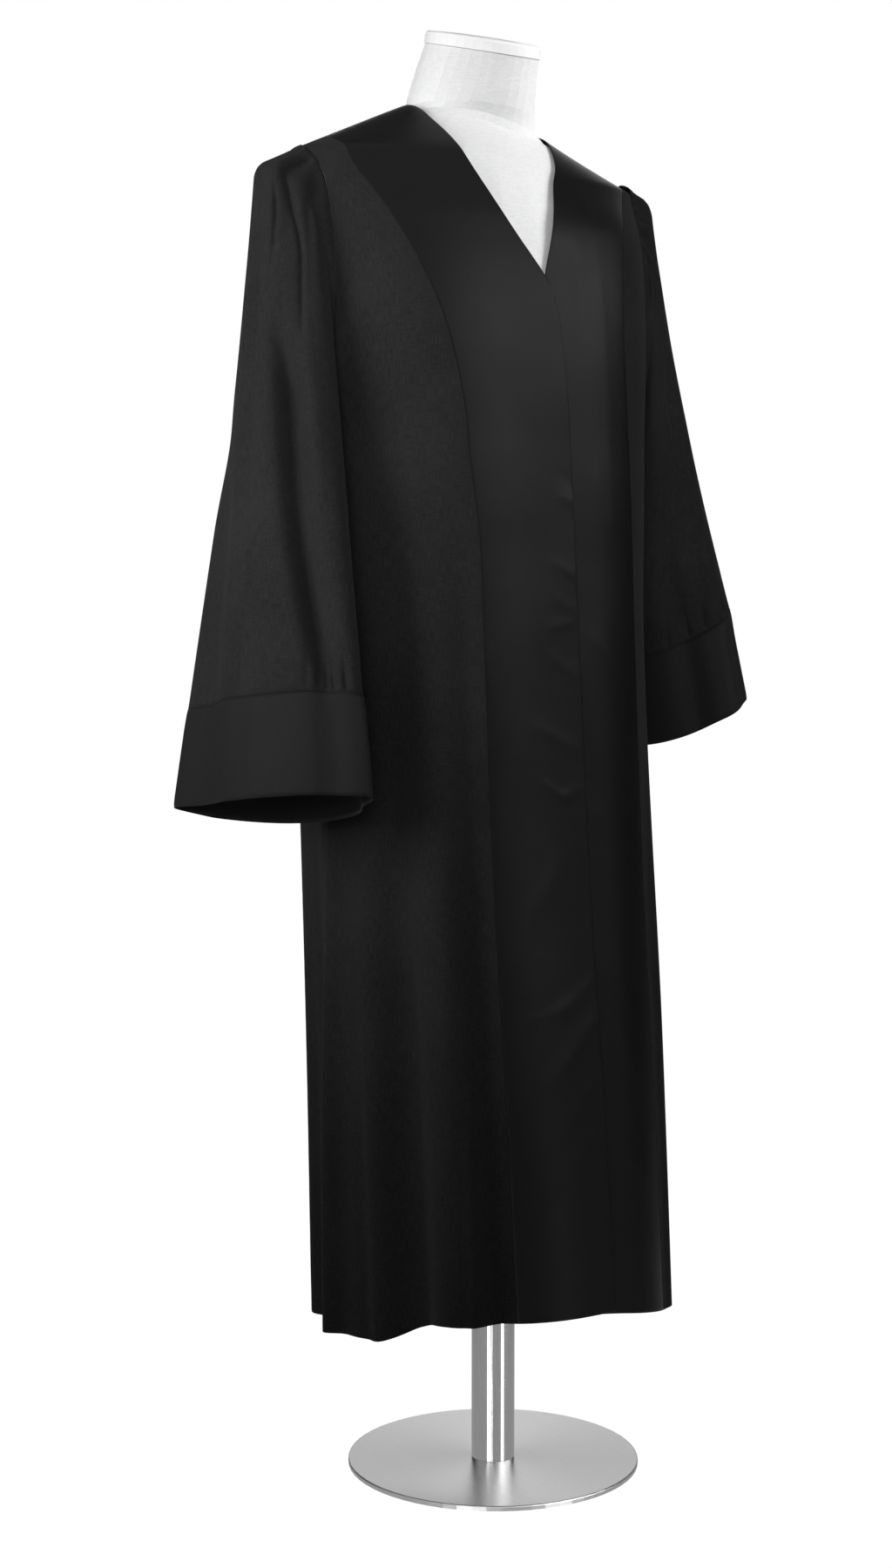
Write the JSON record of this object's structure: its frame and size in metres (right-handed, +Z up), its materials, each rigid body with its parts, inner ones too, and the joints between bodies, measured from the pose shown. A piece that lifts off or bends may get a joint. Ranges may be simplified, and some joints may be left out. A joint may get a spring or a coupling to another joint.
{
  "type": "court clerk robe on a dress form",
  "caption": "open-sleeved black court robe with satin front bands and cuffs, standing on a limbless linen dress form with a round steel foot",
  "frame": {"origin": "the centre of the round foot's underside, on the floor", "axes": "+Z is up; the robe's front faces -Y; the wearer's right is -X and the wearer's left is +X"},
  "size_m": [0.6965, 0.4157, 1.5138],
  "materials": {
    "wool": "matte plain weave, black",
    "satin": "soft satin, black",
    "linen": "fine light grey linen",
    "cap": "smooth matte white",
    "steel": "fine brushed"
  },
  "bodies": {
    "root": {"front_right": "wool", "front_left": "wool", "back": "wool", "sleeve_right": "wool", "sleeve_left": "wool", "band_right": "satin", "band_left": "satin", "band_back": "satin", "cuff_right": "satin", "cuff_left": "satin", "form_torso": "linen", "neck_cap": "cap", "pole": "steel", "base_disc": "steel"}
  },
  "joints": []
}
